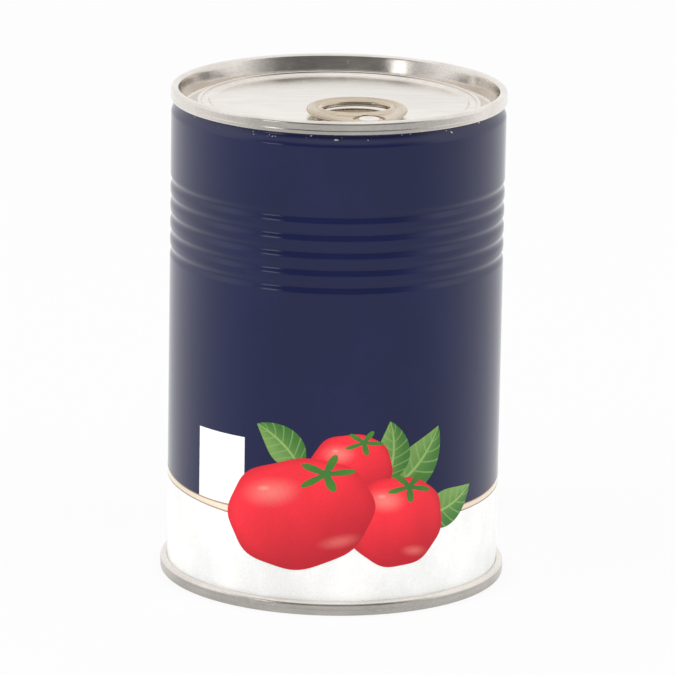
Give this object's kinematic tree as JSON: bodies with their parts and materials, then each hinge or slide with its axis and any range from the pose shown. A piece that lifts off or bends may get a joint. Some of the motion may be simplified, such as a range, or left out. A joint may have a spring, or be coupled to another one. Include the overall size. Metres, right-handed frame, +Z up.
{
  "type": "tin of tomatoes",
  "caption": "Shut round steel food tin with rolled beads below its neck, double-seamed ends and a ring-pull lid, printed with tomatoes on dark blue and white.",
  "frame": {"origin": "on the tin's axis, in the plane of the floor under its base seam", "axes": "+Z up along the tin's axis; the printed front faces -Y and +X is to its right"},
  "size_m": [0.076, 0.076, 0.109],
  "materials": {
    "printed_steel": "glossy varnished print, dark blue above a white field",
    "lid_tinplate": "bright clear-lacquered tinplate",
    "tab_tinplate": "bright tinplate",
    "base_tinplate": "bright tinplate"
  },
  "bodies": {
    "root": {"can_body": "printed_steel", "lid": "lid_tinplate", "ring_pull": "tab_tinplate", "base": "base_tinplate"}
  },
  "joints": []
}
